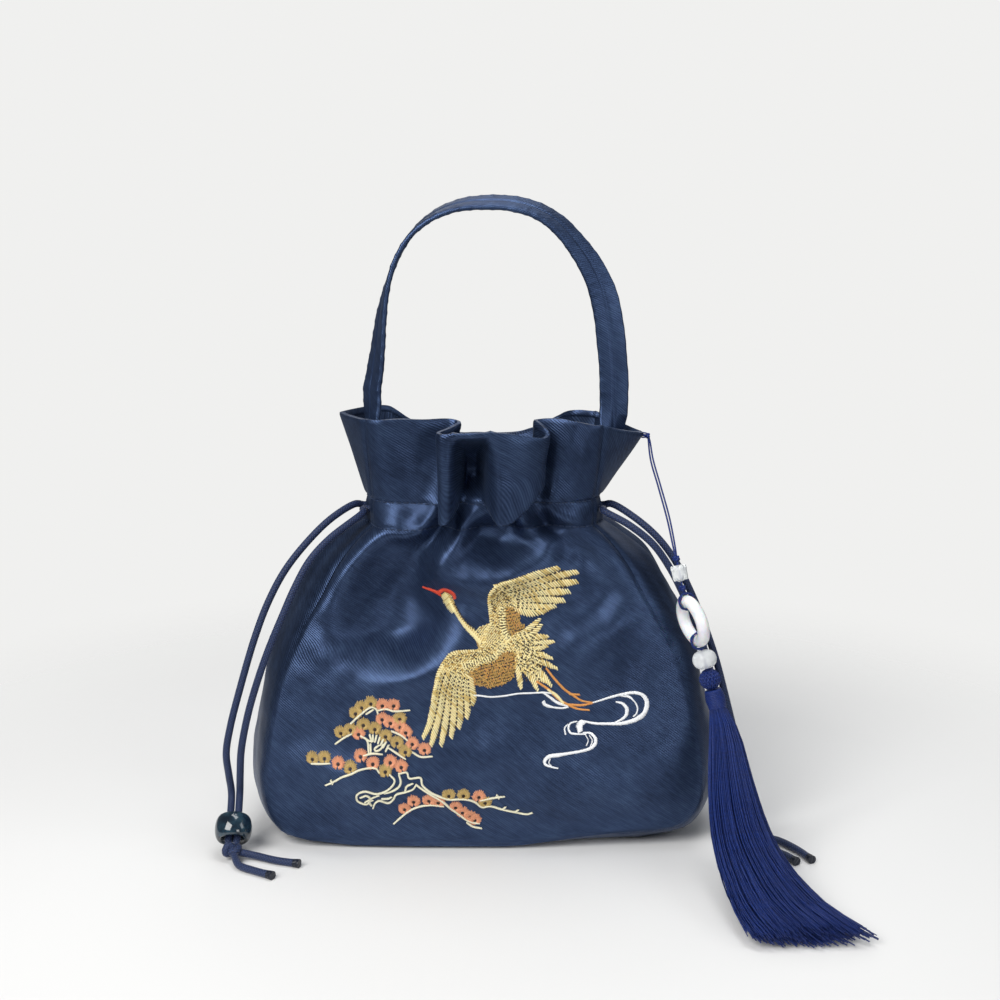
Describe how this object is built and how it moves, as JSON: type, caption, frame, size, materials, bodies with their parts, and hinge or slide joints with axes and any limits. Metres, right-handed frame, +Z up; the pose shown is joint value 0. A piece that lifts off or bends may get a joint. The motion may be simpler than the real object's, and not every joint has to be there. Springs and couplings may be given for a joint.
{
  "type": "drawstring bucket bag",
  "caption": "Drawstring bucket bag in navy satin with a gathered collar, a strap handle, an embroidered front, beaded drawstrings and a ring-and-tassel pendant.",
  "frame": {"origin": "centre of the base where it rests on the floor", "axes": "+Z up, -Y out of the embroidered front, +X to the right seen from the front"},
  "size_m": [0.2956, 0.195, 0.3088],
  "materials": {
    "satin": "navy satin with a soft sheen",
    "lining": "plain dull lining cloth",
    "drawcord": "round braided cord",
    "glazed_bead": "polished, dark teal",
    "tassel_silk": "glossy silk thread",
    "clear_bead": "clear, polished",
    "white_ring": "white, polished, stone-like",
    "gold_thread": "satin stitch",
    "white_thread": "satin stitch",
    "coral_thread": "satin stitch"
  },
  "bodies": {
    "bag": {"front_panel": "satin", "back_panel": "satin", "gusset": "satin", "front_facing": "satin", "back_facing": "satin", "left_facing": "satin", "right_facing": "satin", "front_lining": "lining", "back_lining": "lining", "gusset_lining": "lining", "left_casing_cord": "drawcord", "right_casing_cord": "drawcord", "left_handle_end": "satin", "right_handle_end": "satin", "pendant_tack": "drawcord", "crane_embroidery": "gold_thread", "cloud_embroidery": "white_thread", "pine_embroidery": "coral_thread"},
    "handle": {"handle_strap": "satin"},
    "left_drawstring": {"left_front_strand": "drawcord", "left_back_strand": "drawcord", "left_string_knot": "drawcord", "left_inner_tail": "drawcord", "left_outer_tail": "drawcord"},
    "left_stopper": {"left_bead": "glazed_bead"},
    "right_drawstring": {"right_front_strand": "drawcord", "right_back_strand": "drawcord", "right_string_knot": "drawcord", "right_inner_tail": "drawcord", "right_outer_tail": "drawcord"},
    "right_stopper": {"right_bead": "glazed_bead"},
    "pendant": {"pendant_cord": "tassel_silk", "upper_pendant_knot": "tassel_silk", "lotus_bead": "clear_bead", "lower_pendant_knot": "tassel_silk", "upper_ring_loop": "tassel_silk"},
    "ring": {"jade_ring": "white_ring"},
    "tassel": {"lower_ring_loop": "tassel_silk", "lower_bead": "clear_bead", "tassel_head": "tassel_silk", "tassel_neck": "tassel_silk", "tassel_skirt": "tassel_silk"}
  },
  "joints": [
    {"name": "handle_fold", "type": "hinge", "parent": "bag", "child": "handle", "pos_m": [0, 0, 0.2125], "axis": [1, 0, 0], "range_deg": [-80, 80], "deforming": ["left_handle_end", "right_handle_end"]},
    {"name": "left_drawstring_pull", "type": "slide", "parent": "bag", "child": "left_drawstring", "axis": [-1, 0, 0], "range_m": [0, 0.03], "deforming": ["left_front_strand", "left_back_strand"]},
    {"name": "left_bead_slide", "type": "slide", "parent": "left_drawstring", "child": "left_stopper", "axis": [-0.05, 0.7403, 0.6704], "range_m": [0, 0.009]},
    {"name": "right_drawstring_pull", "type": "slide", "parent": "bag", "child": "right_drawstring", "axis": [1, 0, 0], "range_m": [0, 0.03], "deforming": ["right_front_strand", "right_back_strand"]},
    {"name": "right_bead_slide", "type": "slide", "parent": "right_drawstring", "child": "right_stopper", "axis": [-0.2009, 0.6927, 0.6927], "range_m": [0, 0.009]},
    {"name": "pendant_swing", "type": "hinge", "parent": "bag", "child": "pendant", "pos_m": [0.0798, 0, 0.1935], "axis": [0, -1, 0], "range_deg": [0, 60]},
    {"name": "ring_spin", "type": "hinge", "parent": "pendant", "child": "ring", "pos_m": [0.09801, -0.0434, 0.11274], "axis": [-0.9067, -0.3391, -0.2506], "continuous": true},
    {"name": "tassel_swing", "type": "hinge", "parent": "pendant", "child": "tassel", "pos_m": [0.10095, -0.04438, 0.10344], "axis": [0, -1, 0], "range_deg": [0, 35]}
  ]
}
